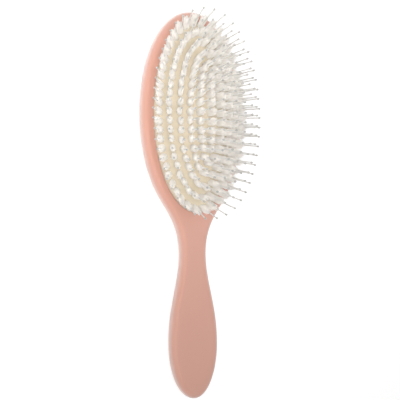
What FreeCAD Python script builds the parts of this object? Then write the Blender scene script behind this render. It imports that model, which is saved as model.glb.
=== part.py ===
import FreeCAD, Part
import math
import os

from FreeCAD import Placement, Rotation, Vector

# Oval cushion brush lying on its back. X runs across the brush, Y along it with the head at +Y,
# and Z out of the bristle face. The origin is under the middle of the head, on the flat back.
# Lengths are in millimetres and angles in degrees.

# Body: head paddle, neck and handle in one piece
overall_length = 233.4
head_half_width = 35.5
head_half_length = 64.2
body_thickness = 11.5
shoulder_angle = 49.0
neck_half_width = 8.4
neck_drop = 19.3
handle_half_width = 16.2
handle_end_length = 32.7
front_edge_radius = 3.0
back_edge_radius = 7.5
edge_land = 1.0
floor_thickness = 4.0

# Fullness of the flanks: how far each curve keeps its direction, as a share of the run it bends in
shoulder_pull = 0.36
upper_neck_pull = 0.5
lower_neck_pull = 0.32
handle_pull = 0.44

# Rubber cushion: a domed wall with a skirt and a bead that snaps under the lip of the body
side_rim = 6.6
end_rim = 6.2
crown_height = 14.4
cushion_wall = 1.6
lip_thickness = 2.4
bead_height = 1.8
bead_depth = 2.2
lip_gap = 0.2
bead_gap = 0.1

# Bristle field: oval rings of tufts that stand square to the dome, and a row along its crown
ring_count = 5
ring_inset = 3.9
crown_gap_in_pitches = 1.25
end_inset = 3.1
end_pitch = 6.4
crown_row_inset = 8.0
tuft_spacing = 5.3

# One tuft: filaments fanned out from a root, a ball-tipped pin in the middle, a button behind
tuft_height = 7.2
tuft_root_radius = 1.75
tuft_tip_radius = 2.0
pin_height = 17.2
pin_radius = 0.4
ball_radius = 0.7
button_flange = 0.45
button_thickness = 1.0
hole_gap = 0.12
pin_gap = 0.08
seat_gap = 0.15
tuft_sides = 6
pin_sides = 4
button_sides = 6

# How far a cutting tool reaches past the face it starts from
tool_overrun = 1.0

# Places that follow from the sizes above
face_z = body_thickness
neck_y = -head_half_length - neck_drop
handle_end_y = head_half_length - overall_length
bulb_y = handle_end_y + handle_end_length
cushion_half_width = head_half_width - side_rim
cushion_half_length = head_half_length - end_rim
crown_radius = (cushion_half_width ** 2 + crown_height ** 2) / (2 * crown_height)
dome_z = face_z + crown_height - crown_radius
dome_half_length = crown_radius * cushion_half_length / cushion_half_width
bead_top = face_z - lip_thickness - bead_gap
bead_bottom = bead_top - bead_height
button_top = -cushion_wall - seat_gap
tuft_flare = (tuft_tip_radius - tuft_root_radius) / (tuft_height - button_top)
hole_radius = tuft_root_radius - tuft_flare * button_top + hole_gap
button_radius = hole_radius + button_flange


def oval_edge(half_width, half_length, centre_y, z):
    return Part.Ellipse(
        Vector(0, centre_y + half_length, z),
        Vector(half_width, centre_y, z),
        Vector(0, centre_y, z),
    )


def oval_column(half_width, half_length, z_low, z_high):
    edge = oval_edge(half_width, half_length, 0, z_low).toShape()
    return Part.Face(Part.Wire([edge])).extrude(Vector(0, 0, z_high - z_low))


def curve(points):
    bezier = Part.BezierCurve()
    bezier.setPoles(points)
    return bezier.toShape()


def side_curves(side):
    # Right or left flank, from the shoulder of the head down to the widest place of the handle
    turn = math.radians(90 + shoulder_angle)
    shoulder = Vector(head_half_width * math.sin(turn), head_half_length * math.cos(turn), 0)
    slope = Vector(head_half_width * math.cos(turn), -head_half_length * math.sin(turn), 0)
    slope.normalize()
    neck = Vector(neck_half_width, neck_y, 0)
    bulb = Vector(handle_half_width, bulb_y, 0)
    upper_run = shoulder.y - neck.y
    lower_run = neck.y - bulb.y
    up = Vector(0, 1, 0)
    shoulder_poles = [
        shoulder,
        shoulder + slope * upper_run * shoulder_pull,
        neck + up * upper_run * upper_neck_pull,
        neck,
    ]
    handle_poles = [
        neck,
        neck - up * lower_run * lower_neck_pull,
        bulb + up * lower_run * handle_pull,
        bulb,
    ]
    flank = []
    for poles in (shoulder_poles, handle_poles):
        flank.append(curve([Vector(side * p.x, p.y, 0) for p in poles]))
    return flank


def body_outline():
    turn = math.radians(90 + shoulder_angle)
    head = oval_edge(head_half_width, head_half_length, 0, 0)
    end = oval_edge(handle_half_width, handle_end_length, bulb_y, 0)
    edges = [Part.ArcOfEllipse(head, -turn, turn).toShape()]
    edges += side_curves(1)
    edges.append(Part.ArcOfEllipse(end, math.pi / 2, 3 * math.pi / 2).toShape())
    edges += side_curves(-1)
    return Part.Wire(Part.__sortEdges__(edges))


def tightest_bulge(outline):
    # Smallest radius of the places where the outline swells outwards
    samples = 40
    radii = []
    for edge in outline.Edges:
        first, last = edge.ParameterRange
        for i in range(samples + 1):
            at = first + (last - first) * i / samples
            if edge.curvatureAt(at) > 1e-6:
                point = edge.valueAt(at)
                centre = edge.centerOfCurvatureAt(at)
                if abs(centre.x) < abs(point.x) + 1e-6:
                    radii.append(point.distanceToPoint(centre))
    return min(radii)


def handle_body():
    outline = body_outline()
    slab = Part.Face(outline).extrude(Vector(0, 0, body_thickness))
    back_radius = min(
        back_edge_radius,
        neck_half_width - edge_land,
        tightest_bulge(outline) - edge_land / 2,
        body_thickness - front_edge_radius - edge_land,
    )
    back = [e for e in slab.Edges if e.BoundBox.ZMax < 0.01]
    slab = slab.makeFillet(back_radius, back)
    front = [e for e in slab.Edges if e.BoundBox.ZMin > face_z - 0.01]
    slab = slab.makeFillet(front_edge_radius, front)
    mouth_width = cushion_half_width + lip_gap
    mouth_length = cushion_half_length + lip_gap
    chamber = oval_column(mouth_width, mouth_length, floor_thickness, face_z + tool_overrun)
    groove = oval_column(
        cushion_half_width + bead_depth + bead_gap,
        cushion_half_length + bead_depth + bead_gap,
        bead_bottom - bead_gap,
        bead_top + bead_gap,
    )
    return slab.cut(chamber.fuse(groove))


def dome(shrink):
    # Ellipsoid turned about the long axis of the brush, with its seam underneath
    radius = crown_radius - shrink
    length = dome_half_length - shrink
    centre = Vector(0, 0, dome_z)
    tip = Vector(0, length, dome_z)
    half = Part.Ellipse(tip, Vector(0, 0, dome_z - radius), centre)
    arc = Part.ArcOfEllipse(half, 0, math.pi).toShape()
    axis = Part.makeLine(Vector(0, -length, dome_z), tip)
    return Part.Face(Part.Wire([arc, axis])).revolve(centre, Vector(0, 1, 0), 360)


def cushion_pad(frames):
    top = face_z + crown_height + tool_overrun
    outer = dome(0).common(oval_column(cushion_half_width, cushion_half_length, bead_bottom, top))
    bead = oval_column(
        cushion_half_width + bead_depth, cushion_half_length + bead_depth, bead_bottom, bead_top
    )
    inner_column = oval_column(
        cushion_half_width - cushion_wall, cushion_half_length - cushion_wall, bead_bottom - tool_overrun, top
    )
    pad = outer.fuse(bead).cut(dome(cushion_wall).common(inner_column)).removeSplitter()
    hole = faceted([(hole_radius, 2 * button_top), (hole_radius, -button_top)], tuft_sides)
    return pad.cut([placed(hole, frame) for frame in frames])


def faceted(profile, sides):
    # Solid of flat facets round +Z, from (radius, height) pairs listed upwards. The last radius
    # may be 0, which ends the solid in a point.
    rings = []
    for radius, height in profile:
        turns = [2 * math.pi * i / sides for i in range(sides)]
        rings.append([Vector(radius * math.cos(a), radius * math.sin(a), height) for a in turns])
    pointed = profile[-1][0] == 0
    faces = [flat_face(rings[0])]
    for low, high in zip(rings, rings[1:]):
        for i in range(sides):
            j = (i + 1) % sides
            if pointed and high is rings[-1]:
                faces.append(flat_face([low[i], low[j], high[i]]))
            else:
                faces.append(flat_face([low[i], low[j], high[j], high[i]]))
    if not pointed:
        faces.append(flat_face(rings[-1]))
    solid = Part.Solid(Part.Shell(faces))
    if solid.Volume < 0:
        solid.reverse()
    return solid


def flat_face(corners):
    return Part.Face(Part.makePolygon(corners + corners[:1]))


def tuft():
    outside = [(tuft_root_radius, button_top), (tuft_tip_radius, tuft_height)]
    bore_radius = pin_radius + pin_gap
    bore = [(bore_radius, 0), (bore_radius, tuft_height + tool_overrun)]
    return faceted(outside, tuft_sides).cut(faceted(bore, pin_sides))


def pin():
    # Straight shank that stands in the tuft at the level of the dome, then the ball
    shank = [(pin_radius, 0), (pin_radius, pin_height - 2 * ball_radius)]
    ball = [(ball_radius, pin_height - ball_radius), (0, pin_height)]
    return faceted(shank + ball, pin_sides)


def button():
    button_bottom = button_top - button_thickness
    return faceted([(button_radius, button_bottom), (button_radius, button_top)], button_sides)


def dome_point(x, y):
    # Point of the dome above (x, y), and the direction square to the dome there
    across = crown_radius ** 2
    along = dome_half_length ** 2
    rise = math.sqrt(across * (1 - y * y / along) - x * x)
    square = Vector(x / across, y / along, rise / across)
    square.normalize()
    return Vector(x, y, dome_z + rise), square


def root_frame(x, y, heading):
    point, square = dome_point(x, y)
    side = square.cross(heading)
    side.normalize()
    ahead = side.cross(square)
    return Placement(point, Rotation(ahead, side, square, "ZXY"))


def ring_half_length(index):
    return cushion_half_length - end_inset - index * end_pitch


def ring_frames(index):
    # Roots spaced evenly by length round an oval on the dome, starting at its side
    reach = math.asin(cushion_half_width / crown_radius) * crown_radius
    ring_pitch = (reach - ring_inset) / (ring_count - 1 + crown_gap_in_pitches)
    half_width = crown_radius * math.sin((reach - ring_inset - index * ring_pitch) / crown_radius)
    half_length = ring_half_length(index)
    steps = 720
    path = []
    for i in range(steps + 1):
        turn = 2 * math.pi * i / steps
        path.append(dome_point(half_width * math.cos(turn), half_length * math.sin(turn))[0])
    runs = [0.0]
    for a, b in zip(path, path[1:]):
        runs.append(runs[-1] + a.distanceToPoint(b))
    count = 2 * round(runs[-1] / tuft_spacing / 2)
    frames = []
    step = 0
    for i in range(count):
        goal = runs[-1] * i / count
        while runs[step + 1] < goal:
            step += 1
        share = (goal - runs[step]) / (runs[step + 1] - runs[step])
        turn = 2 * math.pi * (step + share) / steps
        heading = Vector(-half_width * math.sin(turn), half_length * math.cos(turn), 0)
        frames.append(root_frame(half_width * math.cos(turn), half_length * math.sin(turn), heading))
    return frames


def crown_frames():
    reach = ring_half_length(ring_count - 1) - crown_row_inset
    half_count = int(reach / tuft_spacing)
    ahead = Vector(0, 1, 0)
    places = range(-half_count, half_count + 1)
    return [root_frame(0, i * tuft_spacing, ahead) for i in places]


def placed(solid, frame):
    copy = solid.copy()
    copy.Placement = frame
    return copy


def write(name, shape):
    shape.exportStep("parts/" + name + ".step")


def main():
    rows = {"ring_%d" % (i + 1): ring_frames(i) for i in range(ring_count)}
    rows["crown_row"] = crown_frames()
    write("handle_body", handle_body())
    write("cushion_pad", cushion_pad([f for frames in rows.values() for f in frames]))
    pieces = {"tufts": tuft(), "pins": pin(), "buttons": button()}
    for row, frames in rows.items():
        print(row, len(frames), "tufts")
        for kind, solid in pieces.items():
            write(kind + "_" + row, Part.makeCompound([placed(solid, f) for f in frames]))


main()
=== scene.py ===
import math

import bmesh
import bpy
import numpy as np
from mathutils import Matrix, Vector


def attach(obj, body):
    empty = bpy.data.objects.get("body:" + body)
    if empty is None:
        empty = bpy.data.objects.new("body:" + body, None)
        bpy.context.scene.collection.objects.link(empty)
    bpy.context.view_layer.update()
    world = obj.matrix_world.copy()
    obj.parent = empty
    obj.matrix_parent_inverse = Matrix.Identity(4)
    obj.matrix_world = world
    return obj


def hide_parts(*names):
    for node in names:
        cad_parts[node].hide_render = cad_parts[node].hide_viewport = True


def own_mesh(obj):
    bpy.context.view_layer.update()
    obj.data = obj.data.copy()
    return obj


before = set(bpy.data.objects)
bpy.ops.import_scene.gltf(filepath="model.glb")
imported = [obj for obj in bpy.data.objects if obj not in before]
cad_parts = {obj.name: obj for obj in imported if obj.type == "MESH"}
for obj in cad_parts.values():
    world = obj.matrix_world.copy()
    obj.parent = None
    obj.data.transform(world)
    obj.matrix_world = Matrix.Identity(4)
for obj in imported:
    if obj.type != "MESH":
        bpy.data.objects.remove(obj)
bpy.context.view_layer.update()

mm = 0.001  # lengths below are millimetres, meshes are metres
weldReach = 0.002  # points of a seam this close become one
rng = np.random.default_rng(11)
print("frame loaded:", len(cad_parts), "nodes")


def linear(hexColour):
    # sRGB to linear: c / 12.92 near black, otherwise ((c + 0.055) / 1.055) to the power 2.4
    srgb = np.array([int(hexColour[i:i + 2], 16) for i in (1, 3, 5)]) / 255
    rgb = np.where(srgb <= 0.04045, srgb / 12.92, ((srgb + 0.055) / 1.055) ** 2.4)
    return (float(rgb[0]), float(rgb[1]), float(rgb[2]), 1.0)


def addNode(tree, kind, settings, inputs):
    # one node: a socket among the inputs is linked, any other value is set
    node = tree.nodes.new(kind)
    for name, value in settings.items():
        setattr(node, name, value)
    for name, value in inputs.items():
        if isinstance(value, bpy.types.NodeSocket):
            tree.links.new(value, node.inputs[name])
        else:
            node.inputs[name].default_value = value
    return node


def newMaterial(name):
    material = bpy.data.materials.new(name)
    material.use_nodes = True
    material.node_tree.nodes.clear()
    return material, material.node_tree


def directlySeen(tree):
    # 1 for rays that show a surface to the eye, straight or in a reflection, 0 for light on its way
    path = addNode(tree, "ShaderNodeLightPath", {}, {})
    seen = addNode(tree, "ShaderNodeMath", {"operation": "MAXIMUM"}, {
        0: path.outputs["Is Camera Ray"], 1: path.outputs["Is Glossy Ray"]})
    seen = addNode(tree, "ShaderNodeMath", {"operation": "MAXIMUM"}, {
        0: seen.outputs["Value"], 1: path.outputs["Is Transmission Ray"]})
    return seen.outputs["Value"]


def gridFaces(rows, columns, wrap):
    # quads between neighbouring points of a grid; wrap joins the last column to the first
    last = columns if wrap else columns - 1
    i, j = np.meshgrid(np.arange(rows - 1), np.arange(last), indexing="ij")
    k = (j + 1) % columns
    low, high = i * columns, (i + 1) * columns
    return np.stack([low + j, low + k, high + k, high + j], -1).reshape(-1, 4)


def joinGrids(grids):
    # points and quads of several grids as one list
    points, faces, start = [], [], 0
    for grid, wrap in grids:
        rows, columns = grid.shape[:2]
        points.append(grid.reshape(-1, 3))
        faces.append(gridFaces(rows, columns, wrap) + start)
        start += rows * columns
    return np.concatenate(points), np.concatenate(faces).tolist()


def makePiece(name, points, faces, material, weld=False):
    # mesh in metres at the origin, smooth; weld merges the seams and turns the faces outwards
    mesh = bpy.data.meshes.new(name)
    mesh.from_pydata((points * mm).tolist(), [], faces)
    if weld:
        work = bmesh.new()
        work.from_mesh(mesh)
        bmesh.ops.remove_doubles(work, verts=work.verts, dist=weldReach * mm)
        bmesh.ops.recalc_face_normals(work, faces=work.faces)
        work.to_mesh(mesh)
        work.free()
    mesh.polygons.foreach_set("use_smooth", np.ones(len(mesh.polygons), bool))
    mesh.materials.append(material)
    mesh.update()
    piece = bpy.data.objects.new(name, mesh)
    bpy.context.collection.objects.link(piece)
    print(name, len(mesh.polygons), "faces")
    return piece


# Soft-touch coated ABS, sprayed over a moulding: matte and slightly velvety, one even pink with the
# faintest cloudiness of the spray and a fine orange-peel grain
softTouch = {
    "colour": "#CE917B",
    "cloudColour": "#D19580",
    "cloudSize": 22.0,
    "grainSize": 0.7,  # the real grain is near 0.2, drawn coarser so that it shows
    "grainDepth": 0.012,
    "roughness": 0.6,
    "roughnessSpread": 0.04,
}
softTouchAbs, tree = newMaterial("softTouchAbs")
coords = addNode(tree, "ShaderNodeTexCoord", {}, {})
cloud = addNode(tree, "ShaderNodeTexNoise", {}, {
    "Vector": coords.outputs["Object"], "Scale": 1 / (softTouch["cloudSize"] * mm), "Detail": 3.0})
tint = addNode(tree, "ShaderNodeMix", {"data_type": "RGBA"}, {
    "Factor": cloud.outputs["Fac"],
    6: linear(softTouch["colour"]), 7: linear(softTouch["cloudColour"])})
grain = addNode(tree, "ShaderNodeTexNoise", {}, {
    "Vector": coords.outputs["Object"], "Scale": 1 / (softTouch["grainSize"] * mm), "Detail": 2.0})
peel = addNode(tree, "ShaderNodeBump", {}, {
    "Height": grain.outputs["Fac"], "Distance": softTouch["grainDepth"] * mm, "Strength": 1.0})
matte = addNode(tree, "ShaderNodeMapRange", {}, {
    "Value": cloud.outputs["Fac"],
    "To Min": softTouch["roughness"] - softTouch["roughnessSpread"],
    "To Max": softTouch["roughness"] + softTouch["roughnessSpread"]})
shader = addNode(tree, "ShaderNodeBsdfPrincipled", {}, {
    "Base Color": tint.outputs[2], "Roughness": matte.outputs["Result"],
    "Normal": peel.outputs["Normal"], "IOR": 1.5, "Sheen Weight": 1.0, "Sheen Roughness": 0.6,
    "Coat Weight": 1.0, "Coat Roughness": 0.7})
addNode(tree, "ShaderNodeOutputMaterial", {}, {"Surface": shader.outputs["BSDF"]})

# Moulded natural rubber: cream and dull, slightly clouded, with a fine mould grain
rubber = {
    "colour": "#D3C6AD",
    "paleColour": "#DDD2BD",
    "cloudSize": 9.0,
    "grainSize": 0.6,  # the real mould grain is near 0.1, drawn coarser so that it shows
    "grainDepth": 0.02,
    "roughness": 0.62,
}
creamRubber, tree = newMaterial("mouldedCreamRubber")
coords = addNode(tree, "ShaderNodeTexCoord", {}, {})
cloud = addNode(tree, "ShaderNodeTexNoise", {}, {
    "Vector": coords.outputs["Object"], "Scale": 1 / (rubber["cloudSize"] * mm), "Detail": 4.0})
tint = addNode(tree, "ShaderNodeMix", {"data_type": "RGBA"}, {
    "Factor": cloud.outputs["Fac"], 6: linear(rubber["colour"]), 7: linear(rubber["paleColour"])})
grain = addNode(tree, "ShaderNodeTexNoise", {}, {
    "Vector": coords.outputs["Object"], "Scale": 1 / (rubber["grainSize"] * mm), "Detail": 2.0})
dull = addNode(tree, "ShaderNodeBump", {}, {
    "Height": grain.outputs["Fac"], "Distance": rubber["grainDepth"] * mm, "Strength": 1.0})
shader = addNode(tree, "ShaderNodeBsdfPrincipled", {}, {
    "Base Color": tint.outputs[2], "Roughness": rubber["roughness"],
    "Normal": dull.outputs["Normal"], "IOR": 1.52})
addNode(tree, "ShaderNodeOutputMaterial", {}, {"Surface": shader.outputs["BSDF"]})

# Extruded nylon monofilament: white, each filament its own shade, a soft shine
filamentNylon = {"colour": "#EEE6DC", "whiteColour": "#F5EFE7", "roughness": 0.5}
bristleNylon, tree = newMaterial("extrudedWhiteNylon")
tone = addNode(tree, "ShaderNodeAttribute", {"attribute_name": "tone"}, {})
tint = addNode(tree, "ShaderNodeMix", {"data_type": "RGBA"}, {
    "Factor": tone.outputs["Fac"],
    6: linear(filamentNylon["colour"]), 7: linear(filamentNylon["whiteColour"])})
shader = addNode(tree, "ShaderNodeBsdfPrincipled", {}, {
    "Base Color": tint.outputs[2], "Roughness": filamentNylon["roughness"], "IOR": 1.53,
    "Sheen Weight": 1.0, "Sheen Roughness": 0.8})
addNode(tree, "ShaderNodeOutputMaterial", {}, {"Surface": shader.outputs["BSDF"]})

# The same filaments packed tight: light goes into the bundle and comes out evenly, which softens
# its shading
packedNylonLook = {
    "colour": "#F0E9DF",
    "paleColour": "#F6F0E8",
    "streakSize": 0.5,
    "depth": 2.5,  # how far light travels inside
    "roughness": 0.6,
}
packedNylon, tree = newMaterial("packedWhiteNylon")
coords = addNode(tree, "ShaderNodeTexCoord", {}, {})
streak = addNode(tree, "ShaderNodeTexNoise", {}, {
    "Vector": coords.outputs["Object"],
    "Scale": 1 / (packedNylonLook["streakSize"] * mm), "Detail": 2.0})
tint = addNode(tree, "ShaderNodeMix", {"data_type": "RGBA"}, {
    "Factor": streak.outputs["Fac"],
    6: linear(packedNylonLook["colour"]), 7: linear(packedNylonLook["paleColour"])})
shader = addNode(tree, "ShaderNodeBsdfPrincipled", {}, {
    "Base Color": tint.outputs[2], "Roughness": packedNylonLook["roughness"], "IOR": 1.4,
    "Sheen Weight": 1.0, "Sheen Roughness": 0.8,
    "Subsurface Weight": 1.0, "Subsurface Radius": (1.0, 1.0, 1.0),
    "Subsurface Scale": packedNylonLook["depth"] * mm})
addNode(tree, "ShaderNodeOutputMaterial", {}, {"Surface": shader.outputs["BSDF"]})

# Injection-moulded natural nylon: milky white shanks, ball tips a clear grey with a wet shine
pinPlastic = {
    "colour": "#DFDDD8",
    "cloudColour": "#E8E6E2",
    "cloudSize": 3.0,
    "ballColour": "#C5C3BE",
    "roughness": 0.3,
    "ballRoughness": 0.15,
}
pinNylon, tree = newMaterial("mouldedNaturalNylon")
coords = addNode(tree, "ShaderNodeTexCoord", {}, {})
cloud = addNode(tree, "ShaderNodeTexNoise", {}, {
    "Vector": coords.outputs["Object"], "Scale": 1 / (pinPlastic["cloudSize"] * mm), "Detail": 2.0})
tint = addNode(tree, "ShaderNodeMix", {"data_type": "RGBA"}, {
    "Factor": cloud.outputs["Fac"],
    6: linear(pinPlastic["colour"]), 7: linear(pinPlastic["cloudColour"])})
ball = addNode(tree, "ShaderNodeAttribute", {"attribute_name": "ball"}, {})
tint = addNode(tree, "ShaderNodeMix", {"data_type": "RGBA"}, {
    "Factor": ball.outputs["Fac"], 6: tint.outputs[2], 7: linear(pinPlastic["ballColour"])})
shine = addNode(tree, "ShaderNodeMapRange", {}, {
    "Value": ball.outputs["Fac"],
    "To Min": pinPlastic["roughness"], "To Max": pinPlastic["ballRoughness"]})
shader = addNode(tree, "ShaderNodeBsdfPrincipled", {}, {
    "Base Color": tint.outputs[2], "Roughness": shine.outputs["Result"], "IOR": 1.53,
    "Sheen Weight": 1.0, "Sheen Roughness": 0.4})
addNode(tree, "ShaderNodeOutputMaterial", {}, {"Surface": shader.outputs["BSDF"]})

# Moulded nylon of the buttons behind the pad: plain off-white, satin, with faint flow clouds
buttonPlastic = {"colour": "#E8E5DC", "cloudColour": "#F0EDE6", "cloudSize": 4.0, "roughness": 0.4}
buttonNylon, tree = newMaterial("mouldedOffWhiteNylon")
coords = addNode(tree, "ShaderNodeTexCoord", {}, {})
cloud = addNode(tree, "ShaderNodeTexNoise", {}, {
    "Vector": coords.outputs["Object"],
    "Scale": 1 / (buttonPlastic["cloudSize"] * mm), "Detail": 2.0})
tint = addNode(tree, "ShaderNodeMix", {"data_type": "RGBA"}, {
    "Factor": cloud.outputs["Fac"],
    6: linear(buttonPlastic["colour"]), 7: linear(buttonPlastic["cloudColour"])})
shader = addNode(tree, "ShaderNodeBsdfPrincipled", {}, {
    "Base Color": tint.outputs[2], "Roughness": buttonPlastic["roughness"], "IOR": 1.53})
addNode(tree, "ShaderNodeOutputMaterial", {}, {"Surface": shader.outputs["BSDF"]})
print("materials made")

# Head, neck and handle in one moulding
handle = {
    "headHalfWidth": 35.5,
    "headHalfLength": 64.2,
    "thickness": 11.5,
    "shoulderAngle": 49.0,
    "shoulderPull": 0.36,  # pulls are shares of the run that they bend
    "upperNeckPull": 0.5,
    "neckHalfWidth": 8.4,
    "neckY": -83.5,
    "lowerNeckPull": 0.32,
    "handleHalfWidth": 16.2,
    "bulbY": -136.5,
    "handlePull": 0.44,
    "endLength": 32.7,
    "backRound": 7.4,
    "frontRound": 3.0,
    "mouthHalfWidth": 29.1,
    "mouthHalfLength": 58.2,
    "mouthRound": 0.5,
    "floorZ": 4.0,
    "holdingLoop": 0.3,  # width of the flat strip beside each round, which keeps the flats flat
    "splitY": -66.0,  # where the oval face of the head gives way to the face of the handle
    "faceColumns": 16,
    "headSteps": 130,
    "shoulderSteps": 44,
    "neckSteps": 50,
    "endSteps": 60,
    "roundSteps": 9,
    "lipSteps": 6,
    "spokeRings": 7,
    "floorRings": 6,
}


def cubicCurve(poles, steps):
    # cubic curve: poles weighted by (1-t)^3, 3t(1-t)^2, 3t^2(1-t) and t^3, with its direction
    t = np.linspace(0, 1, steps)[:, None]
    p = [np.array(pole, float) for pole in poles]
    s = 1 - t
    points = s ** 3 * p[0] + 3 * t * s ** 2 * p[1] + 3 * t ** 2 * s * p[2] + t ** 3 * p[3]
    runs = s ** 2 * (p[1] - p[0]) + 2 * t * s * (p[2] - p[1]) + t ** 2 * (p[3] - p[2])
    return points, runs


def ovalArc(halfWidth, halfLength, centreY, turns):
    # (a sin, c + b cos) of the turn, clockwise from the top, with its direction
    points = np.stack([halfWidth * np.sin(turns), centreY + halfLength * np.cos(turns)], -1)
    runs = np.stack([halfWidth * np.cos(turns), -halfLength * np.sin(turns)], -1)
    return points, runs


def rightEdge(h):
    # right edge from the top of the head to the end of the handle, and the outward direction there
    turn = math.radians(90 + h["shoulderAngle"])
    headTurns = np.linspace(0, turn, h["headSteps"])
    head = ovalArc(h["headHalfWidth"], h["headHalfLength"], 0, headTurns)
    shoulder = head[0][-1]
    slope = head[1][-1] / np.linalg.norm(head[1][-1])
    neck = np.array([h["neckHalfWidth"], h["neckY"]])
    bulb = np.array([h["handleHalfWidth"], h["bulbY"]])
    up = np.array([0.0, 1.0])
    drop, rise = shoulder[1] - neck[1], neck[1] - bulb[1]
    upper = cubicCurve([
        shoulder, shoulder + slope * drop * h["shoulderPull"],
        neck + up * drop * h["upperNeckPull"], neck], h["shoulderSteps"])
    lower = cubicCurve([
        neck, neck - up * rise * h["lowerNeckPull"],
        bulb + up * rise * h["handlePull"], bulb], h["neckSteps"])
    endTurns = np.linspace(np.pi / 2, np.pi, h["endSteps"])
    end = ovalArc(h["handleHalfWidth"], h["endLength"], h["bulbY"], endTurns)
    stretches = [head, upper, lower, end]
    points = np.concatenate([head[0]] + [s[0][1:] for s in stretches[1:]])
    runs = np.concatenate([head[1]] + [s[1][1:] for s in stretches[1:]])
    runs = runs / np.linalg.norm(runs, axis=1, keepdims=True)
    outward = np.stack([-runs[:, 1], runs[:, 0]], -1)
    points[[0, -1], 0] = 0
    outward[[0, -1], 0] = 0
    return points, outward


def wholeLoop(half):
    # right edge downwards, then its mirror upwards
    return np.concatenate([half, half[-2:0:-1] * [-1, 1]])


def atHeight(xy, z):
    return np.concatenate([xy, np.broadcast_to(np.asarray(z, float), xy.shape[:-1])[..., None]], -1)


def straightRows(edge, across, z):
    # a flat face: each point of the right edge carried across to the left
    y = np.repeat(edge[:, 1:], len(across), 1)
    return atHeight(np.stack([edge[:, :1] * across, y], -1), z)


def handleMesh(h):
    edge, outward = rightEdge(h)
    hold, top = h["holdingLoop"], h["thickness"]
    backRound, frontRound = h["backRound"], h["frontRound"]
    quarter = np.linspace(0, np.pi / 2, h["roundSteps"])
    # side profile as (inset, height): flat back, back round, wall, front round, flat face
    insets = np.concatenate([
        [backRound + hold], backRound * (1 - np.sin(quarter)),
        frontRound * (1 - np.cos(quarter)), [frontRound + hold]])
    heights = np.concatenate([
        [0], backRound * (1 - np.cos(quarter)),
        top - frontRound * (1 - np.sin(quarter)), [top]])
    loop, loopOutward = wholeLoop(edge), wholeLoop(outward)
    side = loop[None] - loopOutward[None] * insets[:, None, None]
    side = atHeight(side, heights[:, None])
    # flat back, and the face of the handle below the head
    across = np.linspace(1, -1, h["faceColumns"] + 1)
    back = straightRows(edge - outward * insets[0], across, 0)
    faceEdge = edge - outward * insets[-1]
    split = int(np.argmax(faceEdge[:, 1] < h["splitY"]))
    face = straightRows(faceEdge[split:], across, top)
    # face of the head: straight spokes from the outer edge to the mouth, then lip, wall and floor
    outer = np.concatenate([
        faceEdge[:split + 1], face[0, 1:-1, :2], faceEdge[split:0:-1] * [-1, 1]])
    turns = np.arctan2(outer[:, 0] / h["mouthHalfWidth"], outer[:, 1] / h["mouthHalfLength"])
    mouth, mouthRun = ovalArc(h["mouthHalfWidth"], h["mouthHalfLength"], 0, turns)
    mouthRun = mouthRun / np.linalg.norm(mouthRun, axis=1, keepdims=True)
    mouthOut = np.stack([-mouthRun[:, 1], mouthRun[:, 0]], -1)
    lipRound = h["mouthRound"]
    lip = mouth + mouthOut * (lipRound + hold)
    spokes = outer + (lip - outer) * np.linspace(0, 1, h["spokeRings"])[:, None, None]
    arc = np.linspace(0, np.pi / 2, h["lipSteps"])
    outsets = np.concatenate([lipRound * (1 - np.sin(arc)), [0, 0]])
    depths = np.concatenate([
        top - lipRound * (1 - np.cos(arc)), [top - lipRound - hold, h["floorZ"]]])
    wall = mouth + mouthOut * outsets[:, None, None]
    floor = mouth * np.linspace(1, 0, h["floorRings"])[1:, None, None]
    well = np.concatenate([
        atHeight(spokes, top), atHeight(wall, depths[:, None]), atHeight(floor, h["floorZ"])])
    return joinGrids([(side, True), (back, False), (face, False), (well, True)])


points, faces = handleMesh(handle)
handlePiece = makePiece("handle_moulding", points, faces, softTouchAbs, weld=True)
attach(handlePiece, "handle")
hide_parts("handle_body")

# Rubber pad, drum-tight over its air chamber
pad = {
    "halfWidth": 28.9,
    "halfLength": 58.0,
    "faceZ": 11.5,
    "crown": 14.4,
    "wall": 1.6,
    "skirt": 2.4,
    "skirtTop": 0.4,  # the skirt turns down this far below the face
    "beadDepth": 2.2,
    "beadTop": 9.0,
    "beadBottom": 7.2,
    "beadCorner": 0.4,
    "beadColumns": 240,
    "rows": 116,
    "columns": 560,
    "innerRows": 20,
    "collarRadius": 1.55,
    "collarWidth": 0.45,
    "collarHeight": 0.3,
    "collarFade": 40,  # collars fade out over the last fortieth of the way to the edge
}
crownRadius = (pad["halfWidth"] ** 2 + pad["crown"] ** 2) / (2 * pad["crown"])
domeZ = pad["faceZ"] + pad["crown"] - crownRadius
domeLength = crownRadius * pad["halfLength"] / pad["halfWidth"]


def domePoints(x, y, shrink=0.0):
    # ellipsoid about the long axis, z = centre + sqrt(R^2 (1 - y^2 / L^2) - x^2), and its outward
    # direction
    across, along = (crownRadius - shrink) ** 2, (domeLength - shrink) ** 2
    rise = np.sqrt(np.maximum(across * (1 - y * y / along) - x * x, 0))
    square = np.stack([x / across, y / along, rise / across], -1)
    square = square / np.linalg.norm(square, axis=-1, keepdims=True)
    return np.stack([x, y, domeZ + rise], -1), square


# Rows of tufts: five ovals on the pad and a straight row along its crown
field = {
    "ringCount": 5,
    "ringInset": 3.9,
    "crownGap": 1.25,
    "endInset": 3.1,
    "endPitch": 6.4,
    "crownInset": 8.0,
    "spacing": 5.3,
    "pathSteps": 721,
}


def rootFrames(x, y, heading):
    # roots on the pad with three directions each: along the row, across it and out of the pad
    roots, square = domePoints(x, y)
    side = np.cross(square, heading)
    side = side / np.linalg.norm(side, axis=1, keepdims=True)
    return roots, np.cross(side, square), side, square


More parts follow.
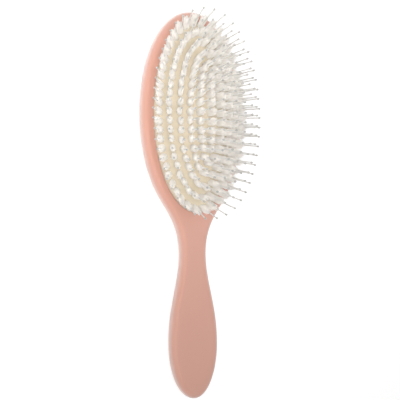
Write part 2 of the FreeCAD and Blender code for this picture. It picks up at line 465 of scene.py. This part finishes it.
def ringRoots(f, index):
    # even steps of length round an oval, from its right-hand side
    reach = math.asin(pad["halfWidth"] / crownRadius) * crownRadius
    pitch = (reach - f["ringInset"]) / (f["ringCount"] - 1 + f["crownGap"])
    halfWidth = crownRadius * math.sin((reach - f["ringInset"] - index * pitch) / crownRadius)
    halfLength = pad["halfLength"] - f["endInset"] - index * f["endPitch"]
    turns = np.linspace(0, 2 * np.pi, f["pathSteps"])
    path, _ = domePoints(halfWidth * np.cos(turns), halfLength * np.sin(turns))
    runs = np.concatenate([[0], np.cumsum(np.linalg.norm(np.diff(path, axis=0), axis=1))])
    count = 2 * round(runs[-1] / f["spacing"] / 2)
    turn = np.interp(runs[-1] * np.arange(count) / count, runs, turns)
    heading = np.stack([-halfWidth * np.sin(turn), halfLength * np.cos(turn), 0 * turn], -1)
    return rootFrames(halfWidth * np.cos(turn), halfLength * np.sin(turn), heading)


def crownRoots(f):
    innermost = pad["halfLength"] - f["endInset"] - (f["ringCount"] - 1) * f["endPitch"]
    reach = innermost - f["crownInset"]
    half = int(reach / f["spacing"])
    y = np.arange(-half, half + 1) * f["spacing"]
    return rootFrames(0 * y, y, np.broadcast_to([0.0, 1.0, 0.0], (len(y), 3)))


rows = {"ring_%d" % (i + 1): ringRoots(field, i) for i in range(field["ringCount"])}
rows["crown_row"] = crownRoots(field)
allRoots = np.concatenate([row[0] for row in rows.values()])
print("tuft places:", {name: len(row[0]) for name, row in rows.items()})


def padMesh(p):
    # similar ovals s (a cos u, b sin u) lifted onto the dome, with a raised collar round each root,
    # lift = height exp(-((distance - radius) / width)^2), then the skirt, its foot and the inside
    u = np.linspace(0, 2 * np.pi, p["columns"], endpoint=False)
    oval = np.stack([p["halfWidth"] * np.cos(u), p["halfLength"] * np.sin(u)], -1)
    shares = np.linspace(0, 1, p["rows"])[:, None, None]
    plan = oval * shares
    dome, square = domePoints(plan[..., 0], plan[..., 1])
    flat = dome.reshape(-1, 3)
    gaps = (flat ** 2).sum(1)[:, None] + (allRoots ** 2).sum(1)[None] - 2 * flat @ allRoots.T
    nearest = np.sqrt(np.maximum(gaps.min(1), 0)).reshape(dome.shape[:2])
    lift = p["collarHeight"] * np.exp(-((nearest - p["collarRadius"]) / p["collarWidth"]) ** 2)
    lift = lift * np.clip((1 - shares[..., 0]) * p["collarFade"], 0, 1)
    dome = dome + square * lift[..., None]
    bottom = p["faceZ"] - p["skirt"]
    skirt = atHeight(np.stack([oval, oval]), np.array([[p["faceZ"] - p["skirtTop"]], [bottom]]))
    innerOval = oval * (1 - p["wall"] / np.array([p["halfWidth"], p["halfLength"]]))
    foot = atHeight(innerOval[None], np.array([[bottom]]))
    inside = innerOval * np.linspace(1, 0, p["innerRows"])[:, None, None]
    inner, _ = domePoints(inside[..., 0], inside[..., 1], p["wall"])
    return joinGrids([(np.concatenate([dome, skirt, foot, inner]), True)])


points, faces = padMesh(pad)
padPiece = makePiece("cushion_dome", points, faces, creamRubber, weld=True)
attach(padPiece, "handle")
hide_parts("cushion_pad")
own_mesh(padPiece)


def beadMesh(p):
    # flat band round the foot of the pad, under the lip: an oval carried round the corners of
    # (outset, height)
    u = np.linspace(0, 2 * np.pi, p["beadColumns"], endpoint=False)
    oval, runs = ovalArc(p["halfWidth"], p["halfLength"], 0, u)
    runs = runs / np.linalg.norm(runs, axis=1, keepdims=True)
    out = np.stack([-runs[:, 1], runs[:, 0]], -1)
    corner, depth, inner = p["beadCorner"], p["beadDepth"], -p["wall"]
    outsets = np.array([inner, depth - corner, depth, depth, depth - corner, inner, inner])
    low, high = p["beadBottom"], p["beadTop"]
    heights = np.array([low, low, low + corner, high - corner, high, high, low])
    return joinGrids([(atHeight(oval + out * outsets[:, None, None], heights[:, None]), True)])


points, faces = beadMesh(pad)
beadPiece = makePiece("cushion_bead", points, faces, creamRubber, weld=True)
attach(beadPiece, "handle")
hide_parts("cushion_pad")

# Tuft: a fan of filaments set like the seeds of a sunflower, round a packed middle
tuft = {
    "filaments": 64,
    "height": 9.0,
    "rootDepth": 1.5,
    "rootRadius": 1.65,
    "tipRadius": 1.84,
    "alongRow": 1.2,  # a tuft is folded over its pin, so it is longer along the row than across it
    "acrossRow": 0.86,
    "dome": 2.6,  # the outer filaments end this much lower
    "looseAlong": 1.08,  # the loose filaments fan out along the row, towards the next tuft
    "looseAcross": 0.95,
    "filamentRadius": 0.15,
    "tipThinning": 0.95,  # tip thickness as a share of the root's
    "fanPower": 0.6,
    "lengthSpread": 1.8,  # filaments end raggedly, up to this much short
    "tipSpread": 0.36,
    "radiusNoise": 0.04,
    "turnNoise": 0.15,
    "lean": 0.05,
    "rimLean": 0.05,  # the outermost tufts lean out over the rim
    "farLean": 0.3,  # more so towards the far end
    "coreDrop": 1.6,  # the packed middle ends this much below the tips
    "coreSides": 12,
    "coreFlute": 0.95,
    "coreStations": (0.0, 0.5, 1.0),
    "coreBow": (40, 75),  # degrees up the domed end
}
stations = np.array([0.0, 0.3, 0.65, 1.0])  # shares of a filament's length
goldenAngle = math.pi * (3 - math.sqrt(5))


def tubeFaces(count, rings, sides):
    # walls of many equal tubes, and a flat cap at both ends of each
    walls = gridFaces(rings, sides, True)
    ring = np.arange(sides)
    caps = np.stack([ring[::-1], (rings - 1) * sides + ring])
    first = (np.arange(count) * rings * sides)[:, None, None]
    walls = (first + walls[None]).reshape(-1, 4)
    return walls.tolist() + (first + caps[None]).reshape(-1, sides).tolist()


def turned(row, heights, radii, sides, lean, shares=(1, 1)):
    # radius against height, turned about the axis of each root, times a share along the row and one
    # across it; lean shifts it sideways with height
    roots, ahead, side, square = row
    turns = np.arange(sides) * 2 * np.pi / sides
    a = shares[0] * radii[:, None] * np.cos(turns) + lean[0][:, None, None] * heights[:, None]
    s = shares[1] * radii[:, None] * np.sin(turns) + lean[1][:, None, None] * heights[:, None]
    z = np.broadcast_to(heights[:, None], a.shape)
    points = roots[:, None, None] + a[..., None] * ahead[:, None, None]
    points = points + s[..., None] * side[:, None, None] + z[..., None] * square[:, None, None]
    return points.reshape(-1, 3), tubeFaces(len(roots), len(heights), sides)


def filamentMesh(t, row, lean):
    # filament i of a tuft starts at radius sqrt(i / n) and turn i times the golden angle, and fans
    # out as it rises
    roots, ahead, side, square = row
    count, each = len(roots), t["filaments"]
    index = np.arange(each) + 0.5
    spread = np.sqrt(index / each) * (1 + rng.normal(0, t["radiusNoise"], (count, each)))
    turns = index * goldenAngle + rng.uniform(0, 2 * np.pi, (count, 1))
    turns = turns + rng.normal(0, t["turnNoise"], (count, each))
    rootRadius, fanning = t["rootRadius"], stations ** t["fanPower"]
    fans = [t[share] * (rootRadius + (t["tipRadius"] * t[loose] - rootRadius) * fanning)
            for share, loose in (("alongRow", "looseAlong"), ("acrossRow", "looseAcross"))]
    length = t["height"] + t["rootDepth"] - t["dome"] * np.minimum(spread, 1) ** 2
    length = length + rng.uniform(-t["lengthSpread"], 0, (count, each))
    rise = length[..., None] * stations - t["rootDepth"]
    stray = rng.normal(0, t["tipSpread"], (2, count, each))[..., None] * stations ** 2
    alongRow = (spread * np.cos(turns))[..., None] * fans[0] + stray[0]
    alongRow = alongRow + lean[0][:, None, None] * rise
    acrossRow = (spread * np.sin(turns))[..., None] * fans[1] + stray[1]
    acrossRow = acrossRow + lean[1][:, None, None] * rise
    corner = np.array([[1, 1], [-1, 1], [-1, -1], [1, -1]]) / math.sqrt(2)
    thick = t["filamentRadius"] * (1 + (t["tipThinning"] - 1) * stations)
    a = alongRow[..., None] + thick[:, None] * corner[:, 0]
    s = acrossRow[..., None] + thick[:, None] * corner[:, 1]
    points = roots[:, None, None, None] + a[..., None] * ahead[:, None, None, None]
    points = points + s[..., None] * side[:, None, None, None]
    points = points + rise[..., None, None] * square[:, None, None, None]
    sides = len(corner)
    tone = rng.uniform(0, 1, (count, each, 1))
    tone = np.broadcast_to(tone, (count, each, sides * len(stations)))
    return points.reshape(-1, 3), tubeFaces(count * each, len(stations), sides), tone.reshape(-1)


def coreMesh(t, row, lean):
    # the packed middle of the bundle: the same fan, fluted, with a domed end below the tips
    shares = np.array(t["coreStations"])
    shoulder = t["height"] - t["dome"] - t["coreDrop"]
    bow = np.radians(t["coreBow"])
    heights = np.concatenate([
        shares * (shoulder + t["rootDepth"]) - t["rootDepth"], shoulder + t["dome"] * np.sin(bow)])
    fan = t["rootRadius"] + (t["tipRadius"] - t["rootRadius"]) * shares ** t["fanPower"]
    radii = np.concatenate([fan, t["tipRadius"] * np.cos(bow)])
    flutes = np.where(np.arange(t["coreSides"]) % 2, t["coreFlute"], 1)
    widths = (t["alongRow"] * flutes, t["acrossRow"] * flutes)
    return turned(row, heights, radii, t["coreSides"], lean, widths)


# Pin: straight shank, with a ball a little longer than wide on its end
pin = {
    "height": 17.0,
    "radius": 0.4,
    "ballRadius": 0.7,
    "ballHalfLength": 0.85,
    "shankEnd": 1.3,  # half lengths of the ball between its middle and the straight shank
    "ballBow": (-50, 0, 40, 68),  # degrees up the ball
    "tipRadius": 0.12,
    "ballShares": (0, 0, 0.7, 1, 1, 1, 1),  # look of each ring: 0 shank, 1 ball
    "sides": 8,
    "tilt": 0.015,
}


def pinMesh(p, row):
    # two rings of the shank, the ball as radius cos and height sin of its bow, and a small flat tip
    centre = p["height"] - p["ballHalfLength"]
    bow = np.radians(p["ballBow"])
    shank = [0, centre - p["shankEnd"] * p["ballHalfLength"]]
    heights = np.concatenate([shank, centre + p["ballHalfLength"] * np.sin(bow), [p["height"]]])
    radii = np.concatenate([
        [p["radius"], p["radius"]], p["ballRadius"] * np.cos(bow), [p["tipRadius"]]])
    tilts = rng.normal(0, p["tilt"], (2, len(row[0])))
    tilts[1] = np.abs(tilts[1])  # never outwards, so that the pins keep within the CAD ones' reach
    points, faces = turned(row, heights, radii, p["sides"], tilts)
    ball = np.tile(np.repeat(p["ballShares"], p["sides"]), len(row[0]))
    return points, faces, ball


def pointValues(piece, name, values):
    # one number per point, for a material to read
    layer = piece.data.attributes.new(name, "FLOAT", "POINT")
    layer.data.foreach_set("value", values.astype(np.float32))


for name, row in rows.items():
    lean = rng.normal(0, tuft["lean"], (2, len(row[0])))
    if name == "ring_1":
        far = np.clip(row[0][:, 1] / pad["halfLength"], 0, 1)
        lean[1] -= tuft["rimLean"] + tuft["farLean"] * far ** 2
    points, faces, tone = filamentMesh(tuft, row, lean)
    bristles = makePiece("bristles_" + name, points, faces, bristleNylon)
    pointValues(bristles, "tone", tone)
    points, faces = coreMesh(tuft, row, lean)
    cores = makePiece("packed_bristles_" + name, points, faces, packedNylon)
    for piece in (bristles, cores):
        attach(piece, name)
        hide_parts("tufts_" + name)
    points, faces, ball = pinMesh(pin, row)
    pins = makePiece("ball_pins_" + name, points, faces, pinNylon)
    pointValues(pins, "ball", ball)
    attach(pins, name)
    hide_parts("pins_" + name)
    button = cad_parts["buttons_" + name]
    button.data.materials.clear()
    button.data.materials.append(buttonNylon)

# Floor: white paper that glows to the eye and still takes the shadow of the brush
floorSheet = {"halfSize": 3000.0, "colour": "#F6F6F6", "shadowColour": "#999999", "glow": 0.8}
floorPaper, tree = newMaterial("whitePaper")
paper = addNode(tree, "ShaderNodeBsdfDiffuse", {}, {"Color": linear(floorSheet["colour"])})
shadow = addNode(tree, "ShaderNodeBsdfDiffuse", {}, {"Color": linear(floorSheet["shadowColour"])})
glow = addNode(tree, "ShaderNodeEmission", {}, {"Strength": floorSheet["glow"]})
white = addNode(tree, "ShaderNodeAddShader", {}, {
    0: shadow.outputs["BSDF"], 1: glow.outputs["Emission"]})
sheet = addNode(tree, "ShaderNodeMixShader", {}, {
    "Fac": directlySeen(tree), 1: paper.outputs["BSDF"], 2: white.outputs["Shader"]})
addNode(tree, "ShaderNodeOutputMaterial", {}, {"Surface": sheet.outputs["Shader"]})
half = floorSheet["halfSize"]
corners = np.array([[[-half, -half, 0], [half, -half, 0]], [[-half, half, 0], [half, half, 0]]])
points, faces = joinGrids([(corners, False)])
floor = makePiece("floor", points, faces, floorPaper)

# Studio: white surround, a large soft lamp beside the camera, a low one at the left, and smaller
# ones at the right and over the handle
studio = {"ambient": 0.4, "backdrop": 1.0}
world = bpy.data.worlds.new("studio")
bpy.context.scene.world = world
world.use_nodes = True
world.node_tree.nodes.clear()
tree = world.node_tree
ambient = addNode(tree, "ShaderNodeBackground", {}, {
    "Color": (1, 1, 1, 1), "Strength": studio["ambient"]})
backdrop = addNode(tree, "ShaderNodeBackground", {}, {
    "Color": (1, 1, 1, 1), "Strength": studio["backdrop"]})
surround = addNode(tree, "ShaderNodeMixShader", {}, {
    "Fac": directlySeen(tree), 1: ambient.outputs["Background"], 2: backdrop.outputs["Background"]})
addNode(tree, "ShaderNodeOutputWorld", {}, {"Surface": surround.outputs["Shader"]})

lamps = {
    "front": {
        "place": (-350, 0, 670), "aim": (0, 150, 10), "size": 560, "spread": 48, "watts": 0.74},
    "left": {
        "place": (-520, 90, 60), "aim": (0, 60, 5), "size": 110, "spread": 60, "watts": 0.07},
    "right": {
        "place": (460, 160, 440), "aim": (0, 120, 10), "size": 400, "spread": 36, "watts": 0.09},
    "handle": {
        "place": (-40, -190, 520), "aim": (0, -150, 10), "size": 300, "spread": 60, "watts": 0.035},
}
for name, lamp in lamps.items():
    data = bpy.data.lights.new(name, "AREA")
    data.size = lamp["size"] * mm
    data.energy = lamp["watts"]
    data.spread = math.radians(lamp["spread"])
    light = bpy.data.objects.new(name, data)
    bpy.context.collection.objects.link(light)
    light.location = Vector(lamp["place"]) * mm
    away = Vector(lamp["place"]) - Vector(lamp["aim"])
    light.rotation_euler = away.to_track_quat("Z", "Y").to_euler()

# Camera: over the bristle face and to the left of it, turned in degrees, placed in millimetres
shot = {
    "turn": 34.0,
    "tip": 3.46,
    "roll": 0.45,
    "distance": 587.7,
    "pixelsPerMm": 1.638,
    "anchor": (0, 0, 5.0),
    "right": 6.60,
    "down": 50.35,
    "frame": 400,
    "sensor": 36.0,
    "nearest": 10.0,
}
turn, tip, roll = (math.radians(shot[key]) for key in ("turn", "tip", "roll"))
away = Vector((-math.sin(turn) * math.cos(tip), -math.sin(tip), math.cos(turn) * math.cos(tip)))
level = Vector((math.cos(turn), 0, math.sin(turn)))
upright = away.cross(level)
right = level * math.cos(roll) - upright * math.sin(roll)
up = level * math.sin(roll) + upright * math.cos(roll)
aim = Vector(shot["anchor"]) + right * shot["right"] - up * shot["down"]
lens = bpy.data.cameras.new("camera")
lens.sensor_width = shot["sensor"]
lens.lens = shot["pixelsPerMm"] * shot["distance"] * shot["sensor"] / shot["frame"]
lens.clip_start = shot["nearest"] * mm
camera = bpy.data.objects.new("camera", lens)
bpy.context.collection.objects.link(camera)
place = (aim + away * shot["distance"]) * mm
camera.matrix_world = Matrix((
    (right.x, up.x, away.x, place.x),
    (right.y, up.y, away.y, place.y),
    (right.z, up.z, away.z, place.z),
    (0, 0, 0, 1)))
bpy.context.scene.camera = camera
bpy.context.scene.view_settings.view_transform = "Standard"
print("studio and camera set")
